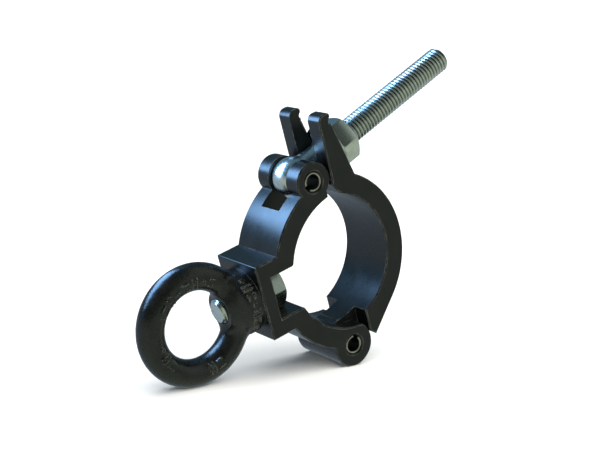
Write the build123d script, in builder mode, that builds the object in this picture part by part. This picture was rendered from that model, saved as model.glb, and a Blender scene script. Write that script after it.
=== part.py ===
"""Hinged pipe clamp with a swing bolt and a forged lifting eye nut.

Two jaws close round a pipe.  The strap jaw hinges on the lower roll pin, and the
swing bolt turns on the upper roll pin and drops into the strap's fork, where its
hexagon nut pulls the jaws together.  A hexagon bolt, held from turning by the
channel in the base jaw, screws into the eye nut that the clamp hangs from.

Millimetres.  The pipe runs along Y and the origin is on the pipe seat's axis, half
way along the jaws.  The jaws are drawn in their own profile plane, which is tilted
about Y by the angle at which the clamp stands on the eye's rim and the lower hinge.
Threads are plain cylinders at the size of their crests.
"""
from build123d import *
from math import acos, atan2, cos, degrees, hypot, radians, sin, sqrt
import os

os.makedirs("parts", exist_ok=True)

# ---- driving dimensions -------------------------------------------------------
jaw_width = 25.0            # both jaws, along the pipe
fork_gap = 11.3             # slots for the swing bolt and the hinge tongue
slip = 0.25                 # side clearance of whatever sits in a fork_gap slot

seat_radius = 26.5          # base jaw's pipe seat
base_outer_radius = 34.4
upper_pin = (-8.7, 34.0)    # swing bolt's hinge
lower_pin = (-8.5, -32.4)   # strap's hinge
upper_ear_radius = 7.2
lower_ear_radius = 8.4
upper_arm_end = -4.0        # where the base jaw's upper arm is cut off
slot_end_angle = 128.5      # floor of the upper slot, as an angle round the seat

boss_face = 40.8            # boss face to the pipe seat's axis
boss_half_height = 14.5
channel_half_height = 8.3
channel_floor = 35.4
lip_radius = 1.2

roll_pin_radius = 3.5
roll_pin_wall = 0.7
roll_pin_slot = 40.0        # degrees of the pin's ring that are missing
upper_slot_angle = 209.0
lower_slot_angle = 56.0
pin_recess = 0.3
pin_end_chamfer = 0.2
running_clearance = 0.06
hole_chamfer = 0.8

strap_centre = (-9.4, 2.0)  # centre of the strap's arcs, which stand past the seat's axis
strap_inner_radius = 25.9
strap_outer_radius = 33.7
notch_x = 0.2               # side notches that clear the base jaw's hinge ears
notch_corner_z = -30.9
tongue_overlap = (4.0, 8.0)  # degrees that the tongue reaches up inside the shell
strap_corner = (2.6, -33.2)
strap_toe = (-1.3, 29.8)
strap_toe_inner = (1.0, 25.9)

fork_left = -0.6
fork_top = 55.5
fork_tip_radius = 2.6
fork_slot_floor = 27.8
fork_flare = 1.0            # bevel of the slot's mouth where the washer seats
hook_radius = 1.2           # rounded hook that keeps the nut from slipping off
hook_centre = (3.5, fork_top - hook_radius)
hook_end_angle = -52.0      # where the hook runs into the undercut below it
undercut_radius = 1.3

bolt_angle = 13.2           # swing bolt above the profile's X axis
bolt_length = 80.3          # pivot to tip
bolt_radius = 4.9
bolt_chamfer = 1.1
bolt_ball_radius = 7.6
neck_radius = 5.6
neck_length = 11.0
seat_distance = 16.9        # pivot to the back of the fork
seat_gap = 0.1

washer_radius = 10.0
washer_bore_radius = 5.25
washer_thickness = 2.0
nut_gap = 0.05
nut_across_flats = 16.0
nut_turn = -6.0             # degrees that the nut stands from corners along the pipe
nut_height = 7.8
nut_bore_clearance = 0.06
turned_face = 0.97          # flat of a turned hexagon end, of half the size across flats
turned_slope = 0.5          # rise of the turned corners, for each radial millimetre

eye_radius = 17.5           # eye nut's ring, to the middle of its section
eye_section_radius = 5.0
eye_seat_height = 22.6      # ring centre above the seat
eye_foot_radius = 12.5
eye_foot_height = 6.0
eye_neck_height = 12.5
eye_bore_radius = 5.05

head_height = 7.4
fixing_reach = 18.2         # from under the head to the bolt's end
web_hole_radius = 5.3

edge = 0.4                  # broken edges of the jaws
corner_radius = 0.5         # rounded corners of the base jaw's boss

# ---- the standing angle -------------------------------------------------------
# The ring's rim and the lower ear touch the ground together:
#   eye_x sin(a) - ring_rim = lower_x sin(a) + lower_z cos(a) - lower_ear_radius
eye_x = -boss_face - eye_seat_height
ring_rim = eye_radius + eye_section_radius
reach_x = lower_pin[0] - eye_x
reach_z = -lower_pin[1]
rim_excess = ring_rim - lower_ear_radius
stand_angle = degrees(acos(rim_excess / hypot(reach_x, reach_z)) - atan2(reach_x, reach_z))

tilt_x = (cos(radians(stand_angle)), 0, sin(radians(stand_angle)))
profile = Plane(origin=(0, 0, 0), x_dir=tilt_x, z_dir=(0, -1, 0))


def at(x, z):
    """Row-frame point of a point of the profile plane."""
    return profile.from_local_coords(Vector(x, z, 0))


def along(angle):
    """Row-frame direction at an angle above the profile's X axis."""
    turned = radians(angle)
    return at(cos(turned), sin(turned))


def on_circle(centre, radius, angle):
    """Profile-plane point at an angle on a circle."""
    turned = radians(angle)
    return (centre[0] + radius * cos(turned), centre[1] + radius * sin(turned))


def point_at(centre, radius, x, side=1):
    """Profile-plane point of a circle above (1) or below (-1) a given x."""
    return (x, centre[1] + side * sqrt(radius**2 - (x - centre[0]) ** 2))


jaw_half = jaw_width / 2
slot_half = fork_gap / 2
far = 80.0                  # well outside every profile
cover = 320.0               # wider than the whole clamp

# ---- base jaw -----------------------------------------------------------------
with BuildPart() as base_jaw:
    with BuildSketch(profile):
        Circle(base_outer_radius)
        with BuildLine():
            Polyline(
                (upper_arm_end, far),
                (-far, far),
                (-far, -far),
                (lower_pin[0], -far),
                (lower_pin[0], 0),
                (upper_arm_end, 0),
                close=True,
            )
        make_face(mode=Mode.INTERSECT)
        with Locations(upper_pin):
            Circle(upper_ear_radius)
        with Locations(lower_pin):
            Circle(lower_ear_radius)
        with Locations((-boss_face, 0)):
            Rectangle(
                boss_face - seat_radius,
                2 * boss_half_height,
                align=(Align.MIN, Align.CENTER),
            )
        Circle(seat_radius, mode=Mode.SUBTRACT)
        with Locations((-channel_floor, 0)):
            Rectangle(
                channel_floor,
                2 * channel_half_height,
                align=(Align.MIN, Align.CENTER),
                mode=Mode.SUBTRACT,
            )
    extrude(amount=jaw_half, both=True)
    lip_x = -sqrt(seat_radius**2 - channel_half_height**2)
    lips = [
        base_jaw.edges().filter_by(Axis.Y).sort_by_distance(at(lip_x, side))[0]
        for side in (-channel_half_height, channel_half_height)
    ]
    fillet(lips, radius=lip_radius)
    chamfer(base_jaw.faces().filter_by(Axis.Y).edges(), length=edge)
    boss_corners = [
        base_jaw.edges().filter_by(Axis.Y).sort_by_distance(at(-boss_face, side))[0]
        for side in (-boss_half_height, boss_half_height)
    ]
    fillet(boss_corners, radius=corner_radius)
    # upper slot, for the eye of the swing bolt
    with BuildSketch(profile):
        with BuildLine():
            Polyline(
                on_circle((0, 0), seat_radius - lip_radius, slot_end_angle),
                on_circle((0, 0), far, slot_end_angle),
                (far, far),
                (far, seat_radius / 2),
                close=True,
            )
        make_face()
    extrude(amount=slot_half, both=True, mode=Mode.SUBTRACT)
    # lower slot, for the strap's hinge tongue
    with BuildSketch(profile):
        with Locations(lower_pin):
            Circle(lower_ear_radius + edge)
    extrude(amount=slot_half, both=True, mode=Mode.SUBTRACT)
    for pin in (upper_pin, lower_pin):
        with BuildSketch(profile):
            with Locations(pin):
                Circle(roll_pin_radius)
        extrude(amount=jaw_width, both=True, mode=Mode.SUBTRACT)
    mouths = base_jaw.faces().filter_by(Axis.Y).edges().filter_by(
        lambda rim: rim.geom_type == GeomType.CIRCLE
        and abs(rim.radius - roll_pin_radius) < edge / 2
        and abs(abs(rim.center().Y) - jaw_half) < edge
    )
    chamfer(mouths, length=hole_chamfer)
    # hole for the fixing bolt
    with BuildSketch(Plane(origin=at(-boss_face, 0), z_dir=along(0))):
        Circle(web_hole_radius)
    extrude(amount=boss_face - seat_radius, mode=Mode.SUBTRACT)
base_jaw.part.label = "base_jaw"
export_step(base_jaw.part, "parts/base_jaw.step")

# ---- strap jaw ----------------------------------------------------------------
corner_offset = (strap_corner[0] - strap_centre[0], strap_corner[1] - strap_centre[1])
corner_angle = degrees(atan2(corner_offset[1], corner_offset[0]))
tangent_turn = degrees(acos(strap_outer_radius / hypot(*corner_offset)))
skirt_start = on_circle(strap_centre, strap_outer_radius, corner_angle + tangent_turn)
knuckle_tangent = on_circle(lower_pin, lower_ear_radius, corner_angle + tangent_turn)
fork_axis = on_circle((0, 0), 1, bolt_angle)
fork_seat = (
    upper_pin[0] + seat_distance * fork_axis[0],
    upper_pin[1] + seat_distance * fork_axis[1],
)


def fork_back(z):
    """Profile-plane point at a height on the fork's back face."""
    return (fork_seat[0] - (z - fork_seat[1]) * fork_axis[1] / fork_axis[0], z)


hook_end = on_circle(hook_centre, hook_radius, hook_end_angle)
undercut_centre = on_circle(hook_centre, hook_radius + undercut_radius, hook_end_angle)
undercut_offset = (undercut_centre[0] - fork_seat[0]) * fork_axis[0] + (
    undercut_centre[1] - fork_seat[1]
) * fork_axis[1]
undercut_start_angle = hook_end_angle + 180
undercut_end_angle = bolt_angle + 180 + degrees(acos(undercut_offset / undercut_radius))
undercut_end = on_circle(undercut_centre, undercut_radius, undercut_end_angle)
undercut_mid = on_circle(
    undercut_centre, undercut_radius, (undercut_start_angle + undercut_end_angle) / 2
)


# the back face runs down to the shell's outer arc
fork_down = (fork_axis[1], -fork_axis[0])
seat_offset = (fork_seat[0] - strap_centre[0], fork_seat[1] - strap_centre[1])
lean = seat_offset[0] * fork_down[0] + seat_offset[1] * fork_down[1]
shoulder_drop = -lean - sqrt(lean**2 + strap_outer_radius**2 - hypot(*seat_offset) ** 2)
shoulder = (
    fork_seat[0] + shoulder_drop * fork_down[0],
    fork_seat[1] + shoulder_drop * fork_down[1],
)
inner_end = point_at(strap_centre, strap_inner_radius, notch_x, -1)
over_pin = point_at(strap_centre, strap_inner_radius, lower_pin[0], -1)
skirt_angle = corner_angle + tangent_turn
tongue_mid = on_circle(strap_centre, strap_outer_radius, skirt_angle + tongue_overlap[0])
tongue_end = on_circle(strap_centre, strap_outer_radius, skirt_angle + tongue_overlap[1])
tongue_inner_end = on_circle(strap_centre, strap_inner_radius, skirt_angle + tongue_overlap[1])
shell_mid_angle = -2.0

with BuildPart() as strap_jaw:
    with BuildSketch(profile):
        with BuildLine():
            ThreePointArc(
                shoulder,
                on_circle(strap_centre, strap_outer_radius, shell_mid_angle),
                skirt_start,
            )
            Polyline(
                skirt_start,
                strap_corner,
                (notch_x, notch_corner_z),
                inner_end,
            )
            ThreePointArc(
                inner_end,
                on_circle(strap_centre, strap_inner_radius, shell_mid_angle),
                point_at(strap_centre, strap_inner_radius, strap_toe_inner[0]),
            )
            Polyline(
                point_at(strap_centre, strap_inner_radius, strap_toe_inner[0]),
                strap_toe,
                (fork_left, strap_toe[1] + lip_radius),
                (fork_left, fork_top),
                (hook_centre[0], fork_top),
            )
            ThreePointArc(
                (hook_centre[0], fork_top),
                on_circle(hook_centre, hook_radius, (90 + hook_end_angle) / 2),
                hook_end,
            )
            ThreePointArc(hook_end, undercut_mid, undercut_end)
            Line(undercut_end, shoulder)
        make_face()
    extrude(amount=jaw_half, both=True)
    tip = strap_jaw.edges().filter_by(Axis.Y).sort_by_distance(at(fork_left, fork_top))[0]
    fillet(tip, radius=fork_tip_radius)
    chamfer(strap_jaw.faces().filter_by(Axis.Y).edges(), length=edge)
    # hinge tongue between the base jaw's ears
    with BuildSketch(profile):
        with BuildLine():
            ThreePointArc(skirt_start, tongue_mid, tongue_end)
            Line(tongue_end, tongue_inner_end)
            ThreePointArc(
                tongue_inner_end,
                on_circle(strap_centre, strap_inner_radius, corner_angle),
                over_pin,
            )
            Polyline(over_pin, lower_pin, knuckle_tangent, skirt_start)
        make_face()
        with Locations(lower_pin):
            Circle(lower_ear_radius)
    extrude(amount=slot_half - slip, both=True)
    # fork slot for the swing bolt
    with BuildSketch(profile):
        with Locations((0, fork_slot_floor)):
            Rectangle(far, far, align=(Align.CENTER, Align.MIN))
    extrude(amount=slot_half, both=True, mode=Mode.SUBTRACT)
    flare_foot = at(*fork_back(fork_slot_floor))
    flare_run = at(*undercut_end) - flare_foot
    with BuildSketch(Plane(flare_foot, x_dir=(0, -1, 0), z_dir=flare_run)):
        with BuildLine():
            Polyline(
                (-slot_half, -fork_flare),
                (slot_half, -fork_flare),
                (slot_half + 2 * fork_flare, fork_flare),
                (-slot_half - 2 * fork_flare, fork_flare),
                close=True,
            )
        make_face()
    extrude(amount=flare_run.length, mode=Mode.SUBTRACT)
    with BuildSketch(profile):
        with Locations(lower_pin):
            Circle(roll_pin_radius + running_clearance)
    extrude(amount=jaw_width, both=True, mode=Mode.SUBTRACT)
strap_jaw.part.label = "strap_jaw"
export_step(strap_jaw.part, "parts/strap_jaw.step")

# ---- turned and hexagonal pieces ----------------------------------------------
def axial_plane(point, angle):
    """Plane whose local y runs along an axis and whose local x is the radius."""
    return Plane(origin=at(*point), x_dir=(0, 1, 0), z_dir=along(angle - 90))


def hexagon_plane(point, angle):
    """Plane square to an axis, with its local x along the pipe."""
    return Plane(origin=at(*point), x_dir=(0, 1, 0), z_dir=along(angle))


def turned_corners(across_flats, height, low_end):
    """Half outline that turns a hexagon's corners down, at one end or at both."""
    outside = across_flats / sqrt(3) + edge
    face = across_flats / 2 * turned_face
    drop = (outside - face) * turned_slope
    foot = [(0, 0), (face, 0), (outside, drop)] if low_end else [(0, 0), (outside, 0)]
    return foot + [(outside, height - drop), (face, height), (0, height)]


# ---- swing bolt ---------------------------------------------------------------
neck_start = sqrt(bolt_ball_radius**2 - neck_radius**2)

with BuildPart() as swing_bolt:
    with BuildSketch(axial_plane(upper_pin, bolt_angle)):
        with BuildLine():
            Polyline(
                (0, -bolt_ball_radius),
                (0, bolt_length),
                (bolt_radius - bolt_chamfer, bolt_length),
                (bolt_radius, bolt_length - bolt_chamfer),
                (bolt_radius, neck_length),
                (neck_radius, neck_start),
            )
            ThreePointArc(
                (neck_radius, neck_start), (bolt_ball_radius, 0), (0, -bolt_ball_radius)
            )
        make_face()
    revolve(axis=Axis(at(*upper_pin), along(bolt_angle)))
    for side in (1, -1):
        with BuildSketch(Plane.XZ.offset(side * (slot_half - slip))):
            Rectangle(cover, cover)
        extrude(amount=side * far, mode=Mode.SUBTRACT)
    with BuildSketch(profile):
        with Locations(upper_pin):
            Circle(roll_pin_radius + running_clearance)
    extrude(amount=jaw_width, both=True, mode=Mode.SUBTRACT)
swing_bolt.part.label = "swing_bolt"
export_step(swing_bolt.part, "parts/swing_bolt.step")

# ---- washer -------------------------------------------------------------------
washer_start = seat_distance + seat_gap
washer_seat = (
    upper_pin[0] + washer_start * fork_axis[0],
    upper_pin[1] + washer_start * fork_axis[1],
)

with BuildPart() as washer:
    with BuildSketch(hexagon_plane(washer_seat, bolt_angle)):
        Circle(washer_radius)
        Circle(washer_bore_radius, mode=Mode.SUBTRACT)
    extrude(amount=washer_thickness)
    outer_rims = washer.edges().filter_by(GeomType.CIRCLE).filter_by(
        lambda rim: rim.radius > washer_radius - edge
    )
    chamfer(outer_rims, length=edge / 2)
washer.part.label = "washer"
export_step(washer.part, "parts/washer.step")

# ---- clamping nut -------------------------------------------------------------
nut_start = washer_start + washer_thickness + nut_gap
nut_seat = (
    upper_pin[0] + nut_start * fork_axis[0],
    upper_pin[1] + nut_start * fork_axis[1],
)

with BuildPart() as clamp_nut:
    with BuildSketch(hexagon_plane(nut_seat, bolt_angle)):
        RegularPolygon(radius=nut_across_flats / sqrt(3), side_count=6, rotation=nut_turn)
    extrude(amount=nut_height)
    with BuildSketch(axial_plane(nut_seat, bolt_angle)):
        with BuildLine():
            Polyline(turned_corners(nut_across_flats, nut_height, True), close=True)
        make_face()
    revolve(axis=Axis(at(*nut_seat), along(bolt_angle)), mode=Mode.INTERSECT)
    with BuildSketch(hexagon_plane(nut_seat, bolt_angle)):
        Circle(bolt_radius + nut_bore_clearance)
    extrude(amount=nut_height, mode=Mode.SUBTRACT)
    bore_rims = clamp_nut.edges().filter_by(GeomType.CIRCLE).filter_by(
        lambda rim: rim.radius < bolt_radius + edge
    )
    chamfer(bore_rims, length=edge)
clamp_nut.part.label = "clamp_nut"
export_step(clamp_nut.part, "parts/clamp_nut.step")

# ---- roll pins ----------------------------------------------------------------
roll_pins = {
    "upper_roll_pin": (upper_pin, upper_slot_angle),
    "lower_roll_pin": (lower_pin, lower_slot_angle),
}
for pin_name, (centre, slot_angle) in roll_pins.items():
    with BuildPart() as roll_pin:
        with BuildSketch(profile):
            with Locations(centre):
                Circle(roll_pin_radius)
                Circle(roll_pin_radius - roll_pin_wall, mode=Mode.SUBTRACT)
            with BuildLine():
                Polyline(
                    centre,
                    on_circle(centre, jaw_half, slot_angle - roll_pin_slot / 2),
                    on_circle(centre, jaw_half, slot_angle + roll_pin_slot / 2),
                    close=True,
                )
            make_face(mode=Mode.SUBTRACT)
        extrude(amount=jaw_half - pin_recess, both=True)
        chamfer(roll_pin.faces().filter_by(Axis.Y).edges(), length=pin_end_chamfer)
    roll_pin.part.label = pin_name
    export_step(roll_pin.part, "parts/" + pin_name + ".step")

# ---- lifting eye nut ----------------------------------------------------------
eye_seat = (-boss_face, 0)

with BuildPart() as eye_nut:
    with BuildSketch(axial_plane(eye_seat, 180)):
        with BuildLine():
            Polyline(
                (0, eye_neck_height),
                (0, 0),
                (eye_foot_radius - edge, 0),
                (eye_foot_radius, edge),
                (eye_foot_radius, eye_foot_height),
                (eye_section_radius, eye_neck_height),
                close=True,
            )
        make_face()
    revolve(axis=Axis(at(*eye_seat), along(180)))
    # the foot stays back from the ring's opening
    with BuildSketch(profile):
        with Locations((eye_x, 0)):
            Circle(eye_radius - eye_section_radius + edge)
    extrude(amount=jaw_width, both=True, mode=Mode.SUBTRACT)
    with BuildSketch(axial_plane(eye_seat, 180)):
        with Locations((0, eye_seat_height - eye_radius)):
            Circle(eye_section_radius)
    revolve(axis=Axis(at(eye_x, 0), (0, 1, 0)))
    with BuildSketch(hexagon_plane(eye_seat, 180)):
        Circle(eye_bore_radius)
    extrude(amount=eye_seat_height, mode=Mode.SUBTRACT)
eye_nut.part.label = "eye_nut"
export_step(eye_nut.part, "parts/eye_nut.step")

# ---- fixing bolt --------------------------------------------------------------
head_seat = (-channel_floor, 0)

with BuildPart() as fixing_bolt:
    with BuildSketch(hexagon_plane(head_seat, 0)):
        RegularPolygon(radius=nut_across_flats / sqrt(3), side_count=6)
    extrude(amount=head_height)
    with BuildSketch(axial_plane(head_seat, 0)):
        with BuildLine():
            Polyline(turned_corners(nut_across_flats, head_height, False), close=True)
        make_face()
    revolve(axis=Axis(at(*head_seat), along(0)), mode=Mode.INTERSECT)
    with BuildSketch(axial_plane(head_seat, 180)):
        with BuildLine():
            Polyline(
                (0, 0),
                (bolt_radius, 0),
                (bolt_radius, fixing_reach - bolt_chamfer),
                (bolt_radius - bolt_chamfer, fixing_reach),
                (0, fixing_reach),
                close=True,
            )
        make_face()
    revolve(axis=Axis(at(*head_seat), along(180)))
fixing_bolt.part.label = "fixing_bolt"
export_step(fixing_bolt.part, "parts/fixing_bolt.step")
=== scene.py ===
"""Hinged pipe clamp with a swing bolt and a forged lifting eye nut, in a plain studio.

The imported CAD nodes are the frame.  The two jaws, the roll pins and the washer keep their
CAD shape and take new materials.  The swing bolt, the clamping nut, the fixing bolt and
the eye nut are built here in the same places, with their threads, turned corners and
forged blends.

Lengths named below are in millimetres, and every object is in metres.  The jaws are
drawn in a profile plane that is tilted about Y, because the clamp stands on the eye's
rim and its lower hinge.
"""
from math import acos, atan2, cos, hypot, pi, radians, sin, sqrt

import bmesh
import bpy
import numpy as np
from mathutils import Matrix, Vector


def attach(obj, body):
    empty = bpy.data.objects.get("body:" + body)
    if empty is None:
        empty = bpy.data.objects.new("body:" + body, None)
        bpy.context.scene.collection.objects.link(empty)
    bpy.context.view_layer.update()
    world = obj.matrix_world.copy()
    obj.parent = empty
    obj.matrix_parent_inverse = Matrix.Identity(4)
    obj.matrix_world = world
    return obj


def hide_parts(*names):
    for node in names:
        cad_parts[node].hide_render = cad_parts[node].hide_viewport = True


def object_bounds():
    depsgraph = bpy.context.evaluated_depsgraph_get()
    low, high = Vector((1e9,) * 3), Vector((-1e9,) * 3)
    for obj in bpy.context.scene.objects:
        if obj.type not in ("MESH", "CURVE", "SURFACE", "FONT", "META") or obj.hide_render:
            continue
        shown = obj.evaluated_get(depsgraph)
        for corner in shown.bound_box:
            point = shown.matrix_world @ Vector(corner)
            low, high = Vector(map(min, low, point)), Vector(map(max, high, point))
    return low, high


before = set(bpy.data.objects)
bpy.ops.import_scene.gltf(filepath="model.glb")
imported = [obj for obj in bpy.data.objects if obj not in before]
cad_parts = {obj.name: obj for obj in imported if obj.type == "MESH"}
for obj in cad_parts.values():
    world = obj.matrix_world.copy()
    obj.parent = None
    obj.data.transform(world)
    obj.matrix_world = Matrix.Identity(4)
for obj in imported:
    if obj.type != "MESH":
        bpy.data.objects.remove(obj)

cad_low, cad_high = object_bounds()

MM = 0.001
ALONG_PIPE = Vector((0, 1, 0))

# ---- dimensions that the pieces share with the CAD ----------------------------
UPPER_PIN = (-8.7, 34.0)    # swing bolt's hinge, in the profile plane
LOWER_PIN = (-8.5, -32.4)
LOWER_EAR_RADIUS = 8.4
BOSS_FACE = 40.8
CHANNEL_FLOOR = 35.4
SLOT_HALF = 5.65
SLIP = 0.25
PIN_HOLE_RADIUS = 3.56
PIN_HOLE_REACH = 9.0        # past both sides of the ball

BOLT_ANGLE = 13.2           # degrees above the profile's X axis
BOLT_LENGTH = 80.3
BALL_RADIUS = 7.6
BALL_STEPS = 30
NECK_RADIUS = 5.6
NECK_STEPS = 5
NECK_LENGTH = 11.0
THREAD_START = 14.0
NUT_DISTANCE = 19.05        # pivot to the nut, past the strap's fork and the washer

NUT_HEIGHT = 7.8
NUT_TURN = radians(-6)      # from corners that stand along the pipe
NUT_BORE = 4.96
NUT_LEAD = 0.5              # chamfer at both ends of the nut's bore
NUT_EDGE = 0.14             # rounding of the nut's edges
HEAD_HEIGHT = 7.4
FIXING_REACH = 18.2
THREAD_RELIEF = 0.5         # plain length under the bolt's head
TIP_FLAT = 0.4              # from a tip's chamfer to its flat

EYE_RADIUS = 17.5
EYE_SECTION = 5.0
EYE_HEIGHT = 22.6           # ring centre above the eye's seat
EYE_BORE = 5.05
EYE_LEAD = 0.7              # chamfer at the seat
BORE_STOP = 4.0             # from the bore's end to the ring's centre
FOOT_RADIUS = 12.5
FOOT_HEIGHT = 6.0
FOOT_EDGE = 1.0             # rounding of the foot's upper rim
NECK_BASE = 11.2            # neck radius at the foot's top
NECK_SLOPE = 0.8
NECK_COSINE = 0.78          # of that slope
NECK_TOP = 11.3             # the neck's flat round the bolt, just inside the ring's opening
NECK_BLEND = 2.0
RING_BLEND = 2.4

# rough shape that is fused and then pulled onto the forging
VOXEL = 0.28
SEED_RINGS = 96
SEED_SIDES = 24
SEED_CORNERS = 64
SEED_FOOT = (FOOT_RADIUS, FOOT_RADIUS, 20.0, -4.0)  # lower and upper radius, depth, middle
SEED_NECK = (12.0, 7.0, 7.0, 7.5)
SWEEPS = 14
PROBE = 0.001               # step that measures the distance's slope
LEAST_SLOPE = 0.2

# raised marks with no meaning, along arcs of the ring's front and round its foot
MARK_HEIGHT = 0.55
MARK_STEP = 3.4             # from one mark to the next
STROKE = 0.36               # half the width of a mark's strokes
STROKE_EDGE = 0.16
PAIR_SPREAD = 0.8           # from a mark's middle to each of two upright strokes
BAR_RISE = 0.6              # share of the height at which the two level strokes lie
BAR_HALF = 1.0
BLOCK_HALF = 0.4
MARK_BANDS = ((54, 143), (177, 215), (265, 292))    # degrees above the profile's X axis
MARK_ARC = 15.5             # radius of the marks' arc round the ring
MARK_LEAN = 75              # degrees from the opening's side to the ring's front
MARK_REACH = 24             # degrees on both sides of that lean
FOOT_MARKS = (3.4, 2.1)     # middle and half of the marks' height on the foot
FOOT_TURN = 60              # degrees on both sides of the foot's front

# ---- thread and hexagon -------------------------------------------------------
CREST = 4.9
ROOT = 3.98
PITCH = 1.5
TIP_CHAMFER = 1.1
RUN_OUT = 3.0               # length over which the thread reaches its full depth
SPARE_TURNS = 2             # turns beyond each end, which are pressed onto that end
# one pitch of the thread: share of the pitch, share of the depth
THREAD = (
    (0.0, 1.0),
    (0.06, 0.97),
    (0.12, 0.86),
    (0.3, 0.22),
    (0.38, 0.06),
    (0.5, 0.0),
    (0.62, 0.06),
    (0.7, 0.22),
    (0.88, 0.86),
    (0.94, 0.97),
)
COLUMNS = 72                # steps round every turned piece

ACROSS_FLATS = 16.0
TURNED_FACE = 7.76          # radius where the hexagon's turned corners begin
TURNED_SLOPE = 0.5
SHARP = radians(45)
EYE_SHARP = radians(38)
BEVEL_FROM = radians(40)
WELD = 0.0005               # points closer than this become one

# ---- the standing angle, as the CAD works it out ------------------------------
eye_x = -BOSS_FACE - EYE_HEIGHT
reach_x = LOWER_PIN[0] - eye_x
reach_z = -LOWER_PIN[1]
rim_excess = EYE_RADIUS + EYE_SECTION - LOWER_EAR_RADIUS
TILT = acos(rim_excess / hypot(reach_x, reach_z)) - atan2(reach_x, reach_z)


def along(angle):
    """Row-frame direction at an angle in degrees above the profile's X axis."""
    turned = radians(angle) + TILT
    return Vector((cos(turned), 0, sin(turned)))


def at(x, z):
    """Row-frame point, in metres, of a point of the profile plane."""
    return (along(0) * x + along(90) * z) * MM


def axis_frame(point, angle):
    """Matrix from a turned piece's own millimetres, with Z as its axis and X along the pipe."""
    z_dir = along(angle)
    axes = Matrix((ALONG_PIPE, z_dir.cross(ALONG_PIPE), z_dir)).transposed().to_4x4()
    return Matrix.Translation(at(*point)) @ axes @ Matrix.Scale(MM, 4)


# ---- mesh helpers -------------------------------------------------------------
def to_object(name, shape, place):
    """Linked object from a bmesh in a piece's own millimetres."""
    bmesh.ops.recalc_face_normals(shape, faces=shape.faces)
    mesh = bpy.data.meshes.new(name)
    shape.to_mesh(mesh)
    shape.free()
    mesh.transform(place)
    made = bpy.data.objects.new(name, mesh)
    bpy.context.scene.collection.objects.link(made)
    return made


def evaluated(piece):
    """Puts a piece's modifiers into its mesh."""
    view = piece.evaluated_get(bpy.context.evaluated_depsgraph_get())
    mesh = bpy.data.meshes.new_from_object(view)
    old = piece.data
    piece.modifiers.clear()
    piece.data = mesh
    mesh.name = piece.name
    bpy.data.meshes.remove(old)


def subtract(piece, cutter):
    """Cuts a closed mesh out of a piece."""
    cut = piece.modifiers.new("cut", "BOOLEAN")
    cut.operation = "DIFFERENCE"
    cut.solver = "EXACT"
    cut.object = cutter
    evaluated(piece)
    mesh = cutter.data
    bpy.data.objects.remove(cutter)
    bpy.data.meshes.remove(mesh)


def slice_off(shape, point, normal):
    """Cuts away what lies past a plane, and closes the cut."""
    cut = bmesh.ops.bisect_plane(
        shape,
        geom=shape.verts[:] + shape.edges[:] + shape.faces[:],
        plane_co=point,
        plane_no=normal,
        clear_outer=True,
    )
    rim = [e for e in cut["geom_cut"] if isinstance(e, bmesh.types.BMEdge)]
    bmesh.ops.holes_fill(shape, edges=rim, sides=0)


def smooth(piece, angle=SHARP):
    """Smooth shading with sharp edges above an angle."""
    piece.data.polygons.foreach_set("use_smooth", [True] * len(piece.data.polygons))
    piece.data.set_sharp_from_angle(angle=angle)


def soften(piece, width):
    """Small rounded edges that catch the light."""
    rounded = piece.modifiers.new("rounded", "BEVEL")
    rounded.width = width * MM
    rounded.segments = 2
    rounded.limit_method = "ANGLE"
    rounded.angle_limit = BEVEL_FROM
    evaluated(piece)


def weave(rows, wraps):
    """Closed bmesh from rows of points round an axis.

    Row r joins row r + 1, and where a row comes round to its start it meets the row that
    is wraps[r] further on, which makes a helix.
    """
    shape = bmesh.new()
    grid = [[shape.verts.new(point) for point in row] for row in rows]
    last = len(rows) - 1
    for r in range(last):
        for c in range(COLUMNS):
            near, far = c, (c + 1) % COLUMNS
            lift = wraps[r] if far == 0 else 0
            low = min(r + lift, last)
            high = min(r + 1 + lift, last)
            corners = (grid[r][near], grid[low][far], grid[high][far], grid[r + 1][near])
            if len(set(corners)) > 2:
                shape.faces.new([v for i, v in enumerate(corners) if v not in corners[:i]])
    bmesh.ops.remove_doubles(shape, verts=shape.verts, dist=WELD)
    return shape


def ring_row(radius, height):
    """Row of points round an axis; the radius and the height may be functions of the angle."""
    row = []
    for c in range(COLUMNS):
        turn = 2 * pi * c / COLUMNS
        r = radius(turn) if callable(radius) else radius
        h = height(turn) if callable(height) else height
        row.append((r * cos(turn), r * sin(turn), h))
    return row


def thread_rows(start, end):
    """Rows of a threaded shank between two heights, with its run-out and chamfered tip."""
    rows = []
    count = int((end - start) / PITCH + 2 * SPARE_TURNS) * len(THREAD)
    for k in range(count):
        share, depth = THREAD[k % len(THREAD)]
        turns = k // len(THREAD) + share - SPARE_TURNS
        row = []
        for c in range(COLUMNS):
            turn = c / COLUMNS
            height = min(max(start + PITCH * (turns + turn), start), end)
            fade = min(max((height - start) / RUN_OUT, 0), 1)
            radius = CREST - (CREST - ROOT) * depth * fade
            radius = min(radius, CREST - TIP_CHAMFER + end - height)
            row.append((radius * cos(2 * pi * turn), radius * sin(2 * pi * turn), height))
        rows.append(row)
    return rows


def tip_rows(end):
    """Rows that close a threaded tip."""
    return [ring_row(CREST - TIP_CHAMFER - TIP_FLAT, end), ring_row(0, end)]


def thread_wraps(plain, threaded, closing):
    """Wraps for weave: plain rows, then threaded rows, then closing rows."""
    return [0] * plain + [len(THREAD)] * threaded + [0] * closing


def hexagon(turn):
    """Radius of the hexagon at an angle, with corners towards +X and -X."""
    rounding = 1e-9         # keeps a corner's angle on one side of the corner
    off = (turn + rounding) % (pi / 3) - pi / 6
    return ACROSS_FLATS / 2 / cos(off)


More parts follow.
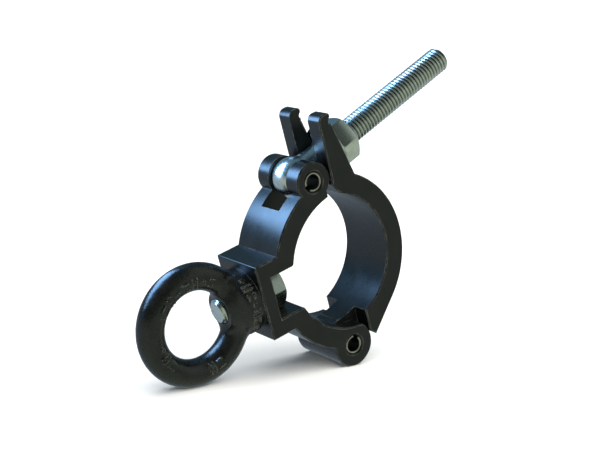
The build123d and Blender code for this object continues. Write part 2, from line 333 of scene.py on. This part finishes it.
def turned_end(height, sign):
    """Rows of a hexagon's end whose corners are turned down: the flat face, then the hexagon."""
    def drop(turn):
        return height - sign * (hexagon(turn) - TURNED_FACE) * TURNED_SLOPE

    return [ring_row(TURNED_FACE, height), ring_row(hexagon, drop)]


# ---- swing bolt ---------------------------------------------------------------
def make_swing_bolt():
    """Eye bolt: a ball with two flats and a pin hole, a neck, and a full thread."""
    neck_start = sqrt(BALL_RADIUS**2 - NECK_RADIUS**2)
    rows = []
    low = -pi / 2
    high = atan2(neck_start, NECK_RADIUS)
    for i in range(BALL_STEPS + 1):
        tilt = low + (high - low) * i / BALL_STEPS
        rows.append(ring_row(BALL_RADIUS * cos(tilt), BALL_RADIUS * sin(tilt)))
    for i in range(1, NECK_STEPS + 1):
        share = i / NECK_STEPS
        height = neck_start + (NECK_LENGTH - neck_start) * share
        rows.append(ring_row(NECK_RADIUS + (CREST - NECK_RADIUS) * share, height))
    thread = thread_rows(THREAD_START, BOLT_LENGTH)
    tip = tip_rows(BOLT_LENGTH)
    shape = weave(rows + thread + tip, thread_wraps(len(rows), len(thread), len(tip)))
    for side in (1, -1):
        slice_off(shape, (side * (SLOT_HALF - SLIP), 0, 0), (side, 0, 0))
    place = axis_frame(UPPER_PIN, BOLT_ANGLE)
    bolt = to_object("eye_bolt", shape, place)
    hole = [ring_row(0, -PIN_HOLE_REACH), ring_row(PIN_HOLE_RADIUS, -PIN_HOLE_REACH)]
    hole += [ring_row(PIN_HOLE_RADIUS, PIN_HOLE_REACH), ring_row(0, PIN_HOLE_REACH)]
    across = Matrix.Rotation(pi / 2, 4, "Y")
    cutter = to_object("cutter", weave(hole, [0] * 4), place @ across)
    subtract(bolt, cutter)
    smooth(bolt)
    return bolt


# ---- clamping nut -------------------------------------------------------------
def make_nut():
    """Hexagon nut with both ends turned."""
    rim = NUT_BORE + NUT_LEAD
    rows = [ring_row(NUT_BORE, NUT_LEAD), ring_row(rim, 0)]
    rows += turned_end(0, -1)
    rows += turned_end(NUT_HEIGHT, 1)[::-1]
    rows += [ring_row(rim, NUT_HEIGHT), ring_row(NUT_BORE, NUT_HEIGHT - NUT_LEAD)]
    rows.append(rows[0])
    start = (
        UPPER_PIN[0] + NUT_DISTANCE * cos(radians(BOLT_ANGLE)),
        UPPER_PIN[1] + NUT_DISTANCE * sin(radians(BOLT_ANGLE)),
    )
    place = axis_frame(start, BOLT_ANGLE) @ Matrix.Rotation(NUT_TURN, 4, "Z")
    nut = to_object("hexagon_nut", weave(rows, [0] * len(rows)), place)
    soften(nut, NUT_EDGE)
    smooth(nut)
    return nut


# ---- fixing bolt --------------------------------------------------------------
def make_fixing_bolt():
    """Hexagon bolt in the base jaw's channel, with its chamfered end in the ring."""
    rows = [ring_row(0, -HEAD_HEIGHT)] + turned_end(-HEAD_HEIGHT, -1)
    rows += [ring_row(hexagon, 0), ring_row(CREST, 0)]
    thread = thread_rows(THREAD_RELIEF, FIXING_REACH)
    tip = tip_rows(FIXING_REACH)
    shape = weave(rows + thread + tip, thread_wraps(len(rows), len(thread), len(tip)))
    bolt = to_object("hexagon_bolt", shape, axis_frame((-CHANNEL_FLOOR, 0), 180))
    smooth(bolt)
    return bolt


# ---- eye nut ------------------------------------------------------------------
def blend_min(a, b, reach):
    """Smooth minimum of two distances, which rounds the corner where two shapes meet."""
    share = np.clip(0.5 + 0.5 * (b - a) / reach, 0, 1)
    return b + (a - b) * share - reach * share * (1 - share)


def marks(run, rise, half):
    """1 on a stroke and 0 between strokes, by the way along a band and up from its middle."""
    number = np.floor(run / MARK_STEP)
    along_mark = run - (number + 0.5) * MARK_STEP
    pair = np.abs(np.abs(along_mark) - PAIR_SPREAD)
    bars = np.maximum(np.abs(np.abs(rise) - BAR_RISE * half), np.abs(along_mark) - BAR_HALF)
    block = np.maximum(np.abs(along_mark), np.abs(rise)) - BLOCK_HALF
    kind = number % 3
    away = np.where(kind == 0, pair, np.where(kind == 1, bars, block))
    away = np.maximum(away, np.abs(rise) - half + STROKE)
    return np.clip(0.5 + (STROKE - away) / STROKE_EDGE, 0, 1)


def eye_distance(points):
    """Signed distance to the forging: the ring, its foot and the neck between them."""
    x, y, z = points.T
    radius = np.hypot(y, z - EYE_HEIGHT)
    ring = np.hypot(radius - EYE_RADIUS, x) - EYE_SECTION
    turn = np.degrees(np.arctan2(-y, EYE_HEIGHT - z)) % 360
    lean = np.degrees(np.arctan2(-x, EYE_RADIUS - radius)) - MARK_LEAN
    on_band = sum((turn > low) & (turn < high) for low, high in MARK_BANDS)
    size = radians(1) * EYE_SECTION
    ring_marks = marks(radians(1) * turn * MARK_ARC, lean * size, MARK_REACH * size)
    ring = ring - MARK_HEIGHT * ring_marks * on_band
    off = np.hypot(x, y)
    side = off - (FOOT_RADIUS - MARK_HEIGHT - FOOT_EDGE)
    top = z - (FOOT_HEIGHT - FOOT_EDGE)
    foot = np.hypot(np.maximum(side, 0), np.maximum(top, 0))
    foot = foot + np.minimum(np.maximum(side, top), 0)
    turn = np.arctan2(y, -x)
    on_foot = np.abs(turn) < radians(FOOT_TURN)
    foot_marks = marks(turn * FOOT_RADIUS, z - FOOT_MARKS[0], FOOT_MARKS[1])
    foot = foot - FOOT_EDGE - MARK_HEIGHT * foot_marks * on_foot
    # the neck narrows from the foot's rim to the ring's section
    cone = (off - NECK_BASE + (z - FOOT_HEIGHT) * NECK_SLOPE) * NECK_COSINE
    bounds = np.maximum(np.maximum(side, FOOT_HEIGHT / 2 - z), z - NECK_TOP)
    body = blend_min(foot, np.maximum(cone, bounds), NECK_BLEND)
    return blend_min(body, ring, RING_BLEND)


def add_torus(shape):
    """Adds the ring, standing on its rim round the pipe's direction."""
    place = Matrix.Translation((0, 0, EYE_HEIGHT)) @ Matrix.Rotation(pi / 2, 4, "Y")
    loop = []
    for i in range(SEED_RINGS):
        a = 2 * pi * i / SEED_RINGS
        section = []
        for j in range(SEED_SIDES):
            b = 2 * pi * j / SEED_SIDES
            out = EYE_RADIUS + EYE_SECTION * cos(b)
            point = Vector((out * cos(a), out * sin(a), EYE_SECTION * sin(b)))
            section.append(shape.verts.new(place @ point))
        loop.append(section)
    for i in range(SEED_RINGS):
        here, after = loop[i], loop[(i + 1) % SEED_RINGS]
        for j in range(SEED_SIDES):
            k = (j + 1) % SEED_SIDES
            shape.faces.new((here[j], after[j], after[k], here[k]))


def add_cone(shape, low_radius, high_radius, depth, middle):
    """Adds a closed cone along Z."""
    bmesh.ops.create_cone(
        shape,
        cap_ends=True,
        segments=SEED_CORNERS,
        radius1=low_radius,
        radius2=high_radius,
        depth=depth,
        matrix=Matrix.Translation((0, 0, middle)),
    )


def pull_onto(mesh, distance):
    """Evens out a mesh's points and moves them onto the surface where a distance is nought."""
    count = len(mesh.vertices)
    points = np.empty(count * 3)
    mesh.vertices.foreach_get("co", points)
    points = points.reshape(-1, 3)
    pairs = np.empty(len(mesh.edges) * 2, int)
    mesh.edges.foreach_get("vertices", pairs)
    pairs = pairs.reshape(-1, 2)
    degree = np.bincount(pairs.ravel(), minlength=count)[:, None]
    for sweep in range(SWEEPS):
        if sweep % 2 == 0:
            near = np.zeros_like(points)
            np.add.at(near, pairs[:, 0], points[pairs[:, 1]])
            np.add.at(near, pairs[:, 1], points[pairs[:, 0]])
            points = (points + near / degree) / 2
        away = distance(points)
        slope = np.stack([
            (distance(points + PROBE * axis) - away) / PROBE for axis in np.eye(3)
        ], axis=1)
        steep = np.maximum((slope**2).sum(1), LEAST_SLOPE)
        points = points - slope * (away / steep)[:, None]
    mesh.vertices.foreach_set("co", points.ravel())


def make_eye_nut():
    """Forged eye nut: its surface is pulled onto the blended shape, then bored."""
    shape = bmesh.new()
    add_torus(shape)
    add_cone(shape, *SEED_FOOT)
    add_cone(shape, *SEED_NECK)
    eye = to_object("lifting_eye", shape, Matrix.Identity(4))
    fused = eye.modifiers.new("fused", "REMESH")
    fused.mode = "VOXEL"
    fused.voxel_size = VOXEL
    evaluated(eye)
    pull_onto(eye.data, eye_distance)
    shape = bmesh.new()
    shape.from_mesh(eye.data)
    slice_off(shape, (0, 0, 0), (0, 0, -1))
    bmesh.ops.recalc_face_normals(shape, faces=shape.faces)
    shape.to_mesh(eye.data)
    shape.free()
    bore = [
        ring_row(0, -1),
        ring_row(EYE_BORE + EYE_LEAD + 1, -1),
        ring_row(EYE_BORE, EYE_LEAD),
        ring_row(EYE_BORE, EYE_HEIGHT - BORE_STOP),
        ring_row(0, EYE_HEIGHT - BORE_STOP),
    ]
    subtract(eye, to_object("cutter", weave(bore, [0] * len(bore)), Matrix.Identity(4)))
    eye.data.transform(axis_frame((-BOSS_FACE, 0), 180))
    smooth(eye, EYE_SHARP)
    return eye


# ---- materials ----------------------------------------------------------------
class Nodes:
    """Short calls that add nodes to a material's or a world's tree."""

    def __init__(self, tree):
        self.tree = tree
        self.coordinates = self.add("ShaderNodeTexCoord").outputs

    def add(self, kind, inputs=(), **settings):
        """A node with its settings, and with values or links on its inputs."""
        node = self.tree.nodes.new(kind)
        for name, value in settings.items():
            setattr(node, name, value)
        for index, value in dict(inputs).items():
            self.feed(node.inputs[index], value)
        return node

    def feed(self, socket, value):
        """Links a node's output to a socket, or sets the socket to a value."""
        if isinstance(value, bpy.types.NodeSocket):
            self.tree.links.new(value, socket)
        else:
            socket.default_value = value

    def noise(self, scale, detail=3.0, stretch=None):
        """Noise by place, with so many features to a metre, or stretched by axis."""
        vector = self.coordinates["Object"]
        if stretch:
            vector = self.add("ShaderNodeMapping", {0: vector, 3: stretch}).outputs[0]
        inputs = {"Vector": vector, "Scale": scale, "Detail": detail}
        return self.add("ShaderNodeTexNoise", inputs).outputs[0]

    def span(self, value, low, high, to_low=0.0, to_high=1.0):
        """A value mapped from one range to another."""
        inputs = {0: value, 1: low, 2: high, 3: to_low, 4: to_high}
        return self.add("ShaderNodeMapRange", inputs).outputs[0]

    def maths(self, operation, a, b=0.0, c=0.0):
        """A maths node."""
        return self.add("ShaderNodeMath", {0: a, 1: b, 2: c}, operation=operation).outputs[0]

    def mix(self, share, a, b):
        """Two colours mixed by a share."""
        node = self.add("ShaderNodeMix", {0: share}, data_type="RGBA")
        self.feed(node.inputs[6], a)
        self.feed(node.inputs[7], b)
        return node.outputs[2]

    def apart(self, vector):
        """The X, Y and Z of a vector."""
        return self.add("ShaderNodeSeparateXYZ", {0: vector}).outputs


class Paint(Nodes):
    """A material with one surface shader."""

    FLAT = 0.995        # cosine between a face and its rounded normal where the edge mark (wear and painted highlight) begins
    CRISP = 0.9         # and where it is full

    def __init__(self, name, **surface):
        self.material = bpy.data.materials.new(name)
        self.material.use_nodes = True
        super().__init__(self.material.node_tree)
        self.shader = self.tree.nodes["Principled BSDF"]
        for socket, value in surface.items():
            self.shader.inputs[socket].default_value = value

    def bump(self, height, distance, under=None):
        """A bump of so many millimetres, over another bump if there is one."""
        node = self.add("ShaderNodeBump", {"Distance": distance * MM, "Height": height})
        if under:
            self.tree.links.new(under, node.inputs["Normal"])
        return node.outputs[0]

    def edges(self, radius):
        # The mask for worn edges, which also carry a painted edge highlight.
        """1 on a crisp edge and 0 on a flat face."""
        bevel = self.add("ShaderNodeBevel", {0: radius * MM}, samples=6)
        normal = self.add("ShaderNodeNewGeometry").outputs["Normal"]
        dot = self.add(
            "ShaderNodeVectorMath",
            {0: bevel.outputs[0], 1: normal},
            operation="DOT_PRODUCT",
        )
        return self.span(dot.outputs["Value"], self.FLAT, self.CRISP)

    def across(self):
        """How far a face looks along the pipe: 1 on a side face and 0 on a face round it."""
        normal = self.add("ShaderNodeNewGeometry").outputs["Normal"]
        return self.maths("ABSOLUTE", self.apart(normal)[1])

    def link(self, value, socket):
        """Links a value to one of the shader's sockets."""
        self.tree.links.new(value, self.shader.inputs[socket])


# noise is counted in features to a metre, and edge wear with its painted highlight and bumps are
# in millimetres
ANODISED = (0.0020, 0.0024, 0.0020, 1)
ANODISED_PALE = (0.0036, 0.0042, 0.0034, 1)
BLACK_PAINT = (0.0020, 0.0023, 0.0020, 1)
BLACK_PAINT_PALE = (0.0040, 0.0045, 0.0036, 1)
# bare aluminium on worn edges, also used as a painted highlight along the edges
WORN_EDGE_AND_HIGHLIGHT = (0.34, 0.35, 0.32, 1)
# rubbed paint on the forging's edges and marks, also used as a painted highlight
RUBBED_EDGE_AND_HIGHLIGHT = (0.20, 0.21, 0.17, 1)
ZINC_BRIGHT = (0.76, 0.79, 0.75, 1)
ZINC_DULL = (0.66, 0.69, 0.65, 1)
ZINC_SPOT = (0.36, 0.38, 0.37, 1)
# painted shade in the thread's roots, where occlusion darkens the zinc
PAINTED_ROOT_SHADE = (0.02, 0.022, 0.022, 1)     # in the thread's roots
STEEL_BRIGHT = (0.78, 0.74, 0.64, 1)
STEEL_DULL = (0.62, 0.58, 0.49, 1)
# painted shade inside the roll pins' bores
PAINTED_BORE_SHADE = (0.25, 0.24, 0.22, 1)
FLOOR_TONES = ((0.869, 0.86, 0.851, 1), (0.899, 0.89, 0.881, 1))


def make_aluminium():
    """Black anodised aluminium: extrusion lines along the pipe, fine sawn sides, worn edges that
    also carry a painted highlight.
    """
    paint = Paint("black_aluminium", IOR=1.55)
    cloud = paint.noise(140.0, 4.0)
    grain = paint.noise(5200.0, 2.0)
    lines = paint.noise(1.0, 2.0, stretch=(2600.0, 34.0, 2600.0))
    side = paint.span(paint.across(), 0.85, 0.95)
    sawn = paint.noise(1.0, 3.0, stretch=(900.0, 900.0, 5200.0))
    patches = paint.span(paint.noise(600.0), 0.38, 0.62)
    worn_and_highlight = paint.maths("MULTIPLY", paint.edges(0.18), patches)
    base = paint.mix(paint.span(cloud, 0.3, 0.7), ANODISED, ANODISED_PALE)
    # edges mixed towards bare aluminium: partly real wear, partly a painted edge highlight
    base = paint.mix(paint.maths("MULTIPLY", worn_and_highlight, 0.85), base, WORN_EDGE_AND_HIGHLIGHT)
    paint.link(base, "Base Color")
    rough = paint.span(cloud, 0.3, 0.7, 0.26, 0.32)
    rough = paint.maths("ADD", rough, paint.span(grain, 0.3, 0.7, -0.03, 0.03))
    rough = paint.maths("MULTIPLY_ADD", side, 0.06, rough)
    paint.link(rough, "Roughness")
    along_pipe = paint.maths("MULTIPLY", lines, paint.maths("SUBTRACT", 1.0, side))
    on_side = paint.maths("MULTIPLY", sawn, side)
    relief = paint.bump(paint.maths("ADD", along_pipe, on_side), 0.012)
    relief = paint.bump(grain, 0.006, relief)
    paint.link(relief, "Normal")
    return paint.material


def make_forging():
    """Black paint over a drop forging: rolling dents, a fine orange peel, rubbed edges that also
    carry a painted highlight.
    """
    paint = Paint("black_forging", IOR=1.55)
    dents = paint.noise(230.0, 2.0)
    peel = paint.noise(1500.0, 3.0)
    grain = paint.noise(5200.0, 2.0)
    base = paint.mix(paint.span(dents, 0.35, 0.65), BLACK_PAINT, BLACK_PAINT_PALE)
    worn_and_highlight = paint.maths("MULTIPLY", paint.edges(0.3), paint.span(peel, 0.35, 0.55))
    # edges and raised marks mixed lighter: partly rubbed paint, partly a painted highlight
    base = paint.mix(paint.maths("MULTIPLY", worn_and_highlight, 0.7), base, RUBBED_EDGE_AND_HIGHLIGHT)
    paint.link(base, "Base Color")
    rough = paint.span(paint.maths("ADD", dents, peel), 0.8, 1.2, 0.22, 0.32)
    paint.link(rough, "Roughness")
    relief = paint.bump(dents, 0.16)
    relief = paint.bump(peel, 0.05, relief)
    relief = paint.bump(grain, 0.008, relief)
    paint.link(relief, "Normal")
    return paint.material


def make_zinc():
    """Bright zinc plate with small dull spots, and painted shade in the thread's roots."""
    paint = Paint("zinc_steel", Metallic=1.0)
    cloud = paint.noise(260.0, 4.0)
    speck = paint.noise(1700.0, 3.0)
    base = paint.mix(paint.span(cloud, 0.35, 0.65), ZINC_BRIGHT, ZINC_DULL)
    base = paint.mix(paint.span(speck, 0.62, 0.72, 0.0, 0.5), base, ZINC_SPOT)
    open_sky = paint.add(
        "ShaderNodeAmbientOcclusion",
        {"Distance": PITCH * MM},
        samples=8,
        only_local=True,
    )
    # ambient occlusion darkens the colour in the thread's roots: painted shade
    root_shade = paint.span(open_sky.outputs["AO"], 0.65, 0.4, 0.0, 0.9)
    base = paint.mix(root_shade, base, PAINTED_ROOT_SHADE)
    paint.link(base, "Base Color")
    rough = paint.span(paint.maths("ADD", cloud, speck), 0.8, 1.2, 0.2, 0.3)
    paint.link(rough, "Roughness")
    relief = paint.bump(speck, 0.003)
    paint.link(relief, "Normal")
    return paint.material


def make_spring_steel():
    """Rolled spring steel, with its own bright colour on the ends and painted shade in the bore.
    """
    paint = Paint("spring_steel", Metallic=1.0)
    cloud = paint.noise(900.0, 4.0)
    speck = paint.noise(4200.0, 2.0)
    base = paint.mix(paint.span(cloud, 0.35, 0.65), STEEL_BRIGHT, STEEL_DULL)
    # faces round the pipe's axis (the bore) take a painted shade, and the ends keep the steel's
    # colour
    end = paint.span(paint.across(), 0.6, 0.8)
    base = paint.mix(end, PAINTED_BORE_SHADE, base)
    paint.link(base, "Base Color")
    paint.link(paint.span(cloud, 0.3, 0.7, 0.28, 0.42), "Roughness")
    paint.link(paint.bump(speck, 0.006), "Normal")
    return paint.material


# ---- the pieces ---------------------------------------------------------------
aluminium = make_aluminium()
forging = make_forging()
zinc = make_zinc()
spring = make_spring_steel()

for node, material in {
    "base_jaw": aluminium,
    "strap_jaw": aluminium,
    "upper_roll_pin": spring,
    "lower_roll_pin": spring,
    "washer": zinc,
}.items():
    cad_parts[node].data.materials.clear()
    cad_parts[node].data.materials.append(material)

built = (
    (make_swing_bolt(), "swing_bolt", "bolt", zinc, "zinc_steel"),
    (make_nut(), "clamp_nut", "nut", zinc, "zinc_steel"),
    (make_fixing_bolt(), "fixing_bolt", "saddle", zinc, "zinc_steel"),
    (make_eye_nut(), "eye_nut", "saddle", forging, "black_forging"),
)
for piece, node, body, material, slot in built:
    piece.data.materials.clear()
    piece.data.materials.append(material)
    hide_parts(node)
    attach(piece, body)

# ---- floor, light and camera --------------------------------------------------
FLOOR_SIZE = 14.0

floor_shape = bmesh.new()
bmesh.ops.create_grid(floor_shape, x_segments=2, y_segments=2, size=FLOOR_SIZE / 2)
floor = to_object("floor", floor_shape, Matrix.Translation((0, 0, cad_low.z)))
floor_paint = Paint("floor", Roughness=0.9)
tone = floor_paint.span(floor_paint.noise(3.0), 0.3, 0.7)
floor_paint.link(floor_paint.mix(tone, *FLOOR_TONES), "Base Color")
floor.data.materials.append(floor_paint.material)
floor.visible_glossy = False


def lamp(name, kind, place, aim, energy, colour, lights, **settings):
    """A light that the camera doesn't see, for matt surfaces or for glossy ones."""
    light = bpy.data.lights.new(name, kind)
    light.energy = energy
    light.color = colour
    for setting, value in settings.items():
        setattr(light, setting, value)
    holder = bpy.data.objects.new(name, light)
    holder.location = place
    holder.rotation_euler = (Vector(aim) - Vector(place)).to_track_quat("-Z", "Y").to_euler()
    holder.visible_camera = False
    holder.visible_diffuse = lights == "matt"
    holder.visible_glossy = lights == "glossy"
    bpy.context.scene.collection.objects.link(holder)


OVERHEAD_PLACE = (0.15, -0.3, 1.5)
FILL_PLACE = (-1.0, -1.3, 0.6)
WINDOW_PLACE = Vector((-0.151, 0.08, 0.122))
DAYLIGHT = (1, 0.99, 0.97)
WARM_LIGHT = (1, 0.99, 0.95)
SKYLIGHT = (0.29, 0.56, 1.0)

centre = (cad_low + cad_high) / 2
lamp("overhead", "SUN", OVERHEAD_PLACE, centre, 4.4, DAYLIGHT, "matt", angle=radians(100))
lamp("fill", "SUN", FILL_PLACE, centre, 1.6, WARM_LIGHT, "matt", angle=radians(60))
lamp(
    "window",
    "AREA",
    WINDOW_PLACE,
    WINDOW_PLACE - ALONG_PIPE,
    1.25,
    SKYLIGHT,
    "glossy",
    shape="RECTANGLE",
    size=0.18,
    size_y=0.156,
)

# what glossy surfaces see of the studio, by direction
WALL_PALE = (0.44, 0.50, 0.40, 1)
WALL_BLUE = (0.34, 0.42, 0.50, 1)
FLOOR_PALE = (0.37, 0.43, 0.36, 1)
FLOOR_DARK = (0.16, 0.18, 0.17, 1)
FRONT_DARK = (0.055, 0.068, 0.062, 1)
FRONT_PALE = (0.44, 0.51, 0.45, 1)
CEILING_BLUE = (0.08, 0.16, 0.22, 1)
WHITE = (1, 1, 1, 1)

world = bpy.data.worlds.new("studio")
world.use_nodes = True
bpy.context.scene.world = world
sky = Nodes(world.node_tree)
x, y, z = sky.apart(sky.coordinates["Generated"])
floor_side = sky.mix(sky.span(y, -0.2, 0.6), WALL_PALE, WALL_BLUE)
floor_front = sky.mix(sky.span(x, 0.5, 0.68), FLOOR_PALE, FLOOR_DARK)
below = sky.mix(sky.span(y, -0.72, -0.45), floor_front, floor_side)
front = sky.mix(sky.span(x, 0.18, 0.36), FRONT_DARK, FRONT_PALE)
above = sky.mix(sky.span(y, -0.3, 0.2), front, CEILING_BLUE)
around = sky.mix(sky.span(z, -0.12, 0.25), below, above)
seen = sky.add("ShaderNodeLightPath").outputs["Is Camera Ray"]
sky.feed(sky.tree.nodes["Background"].inputs[0], sky.mix(seen, around, WHITE))

LENS = 74.81
CAMERA_PLACE = Vector((-0.28293, -0.36850, 0.10366))
CAMERA_AIM = Vector((-0.00773, 0.00709, 0.00972))
CAMERA_ROLL = radians(1.093)

lens = bpy.data.cameras.new("camera")
lens.lens = LENS
lens.clip_start = 0.01
lens.clip_end = 50.0
camera = bpy.data.objects.new("camera", lens)
camera.location = CAMERA_PLACE
turn = (CAMERA_AIM - CAMERA_PLACE).to_track_quat("-Z", "Y").to_matrix()
camera.rotation_euler = (turn @ Matrix.Rotation(CAMERA_ROLL, 3, "Z")).to_euler()
bpy.context.scene.collection.objects.link(camera)
bpy.context.scene.camera = camera
bpy.context.scene.view_settings.view_transform = "Standard"
